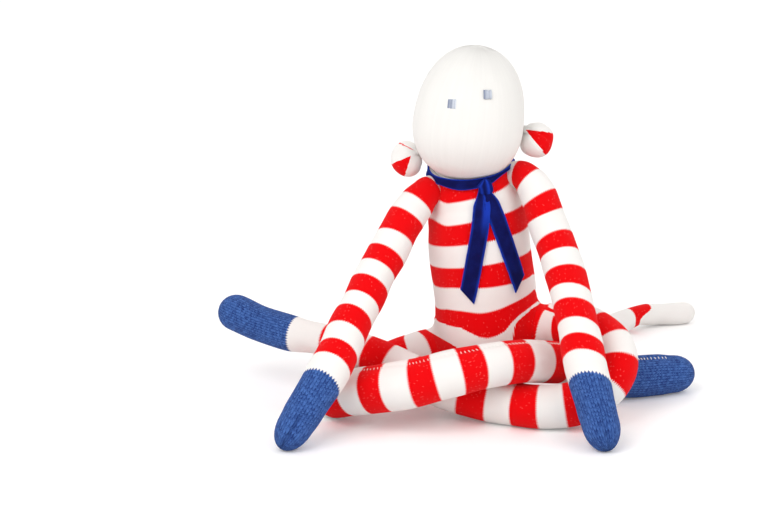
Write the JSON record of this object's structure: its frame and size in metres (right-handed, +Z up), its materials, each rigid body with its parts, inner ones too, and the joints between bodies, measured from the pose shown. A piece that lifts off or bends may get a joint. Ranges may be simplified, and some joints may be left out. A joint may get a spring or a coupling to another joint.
{
  "type": "plush sock monkey",
  "caption": "Seated plush sock monkey with a striped knit body, long crossed legs, blue hands and feet, round ears and a velvet neck ribbon.",
  "frame": {"origin": "point of the floor under the middle of the seat", "axes": "+Z up; -Y the way the monkey faces; +X towards the monkey's left"},
  "size_m": [0.3409, 0.2894, 0.2488],
  "materials": {
    "striped_knit": "soft red and off-white striped cotton knit",
    "white_knit": "soft off-white fine knit",
    "blue_knit": "heathered blue ribbed knit",
    "velvet": "navy velvet ribbon with a brighter blue sheen at its edges",
    "thread": "off-white sewing thread",
    "eye_thread": "pale grey-blue embroidery thread",
    "filling": "loose white polyester fibre"
  },
  "bodies": {
    "crossed_legs": {"right_thigh": "striped_knit", "right_shin": "striped_knit", "right_leg_stuffing": "filling", "right_leg_seam_thread": "thread", "left_thigh": "striped_knit", "left_shin": "striped_knit", "left_leg_stuffing": "filling", "left_leg_seam_thread": "thread"},
    "torso": {"torso_skin": "striped_knit", "torso_stuffing": "filling", "ribbon_collar": "velvet", "ribbon_knot": "velvet"},
    "neck": {"neck_seam_thread": "thread"},
    "head": {"head_skin": "white_knit", "head_stuffing": "filling", "right_eye": "eye_thread", "left_eye": "eye_thread"},
    "right_ear": {"right_ear_skin": "striped_knit", "right_ear_stuffing": "filling", "right_ear_gathering_thread": "thread"},
    "left_ear": {"left_ear_skin": "striped_knit", "left_ear_stuffing": "filling", "left_ear_gathering_thread": "thread"},
    "right_upper_arm": {"right_upper_arm": "striped_knit", "right_upper_arm_stuffing": "filling"},
    "right_forearm": {"right_forearm": "striped_knit", "right_hand": "blue_knit", "right_forearm_stuffing": "filling"},
    "left_upper_arm": {"left_upper_arm": "striped_knit", "left_upper_arm_stuffing": "filling"},
    "left_forearm": {"left_forearm": "striped_knit", "left_hand": "blue_knit", "left_forearm_stuffing": "filling"},
    "right_foot": {"right_foot": "blue_knit", "right_foot_stuffing": "filling", "right_foot_seam_thread": "thread"},
    "left_foot": {"left_foot": "blue_knit", "left_foot_stuffing": "filling"},
    "tail": {"tail_skin": "white_knit", "tail_stuffing": "filling"},
    "ribbon_tail_right": {"ribbon_tail_right": "velvet"},
    "ribbon_tail_left": {"ribbon_tail_left": "velvet"}
  },
  "joints": [
    {"name": "waist_fold", "type": "hinge", "parent": "crossed_legs", "child": "torso", "pos_m": [0, 0, 0.034], "axis": [-1, 0, 0], "range_deg": [0, 35]},
    {"name": "head_turn", "type": "hinge", "parent": "torso", "child": "neck", "pos_m": [-0.0168, 0.004, 0.192], "axis": [0.0688, 0.172, -0.9827], "range_deg": [-30, 30], "stiffness_Nm_per_rad": 0.02},
    {"name": "head_nod", "type": "hinge", "parent": "neck", "child": "head", "pos_m": [-0.0168, 0.004, 0.192], "axis": [0.9976, 0, 0.0698], "range_deg": [-12, 12], "stiffness_Nm_per_rad": 0.03},
    {"name": "right_ear_flap", "type": "hinge", "parent": "head", "child": "right_ear", "pos_m": [-0.05135, 0.01004, 0.17135], "axis": [0, 0, 1], "range_deg": [-20, 20]},
    {"name": "left_ear_flap", "type": "hinge", "parent": "head", "child": "left_ear", "pos_m": [0.02184, 0.00789, 0.17983], "axis": [0, 0, 1], "range_deg": [-20, 20]},
    {"name": "right_arm_raise", "type": "hinge", "parent": "torso", "child": "right_upper_arm", "pos_m": [-0.041, 0, 0.138], "axis": [-0.7704, 0.6376, 0], "range_deg": [0, 55]},
    {"name": "left_arm_raise", "type": "hinge", "parent": "torso", "child": "left_upper_arm", "pos_m": [0.0155, 0.005, 0.1475], "axis": [0.9115, 0.4113, 0], "range_deg": [-55, 0]},
    {"name": "right_elbow_bend", "type": "hinge", "parent": "right_upper_arm", "child": "right_forearm", "pos_m": [-0.08947, -0.06114, 0.08363], "axis": [-0.7704, 0.6376, 0], "range_deg": [0, 60]},
    {"name": "left_elbow_bend", "type": "hinge", "parent": "left_upper_arm", "child": "left_forearm", "pos_m": [0.05188, -0.05864, 0.08844], "axis": [-0.9115, -0.4113, 0], "range_deg": [0, 60]},
    {"name": "right_foot_flex", "type": "hinge", "parent": "crossed_legs", "child": "right_foot", "pos_m": [0.0835, -0.015, 0.01653], "axis": [0, 0, 1], "range_deg": [-20, 20]},
    {"name": "left_foot_flex", "type": "hinge", "parent": "crossed_legs", "child": "left_foot", "pos_m": [-0.1249, -0.00759, 0.04328], "axis": [0, 0, 1], "range_deg": [-20, 20]},
    {"name": "tail_sweep", "type": "hinge", "parent": "crossed_legs", "child": "tail", "pos_m": [0.01418, 0.03404, 0.01131], "axis": [0, 0, 1], "range_deg": [-25, 45]},
    {"name": "ribbon_tail_right_lift", "type": "hinge", "parent": "torso", "child": "ribbon_tail_right", "pos_m": [-0.00386, -0.01895, 0.14699], "axis": [-1, 0, 0], "range_deg": [0, 40]},
    {"name": "ribbon_tail_left_lift", "type": "hinge", "parent": "torso", "child": "ribbon_tail_left", "pos_m": [-0.00386, -0.01895, 0.14699], "axis": [-1, 0, 0], "range_deg": [0, 40]}
  ]
}
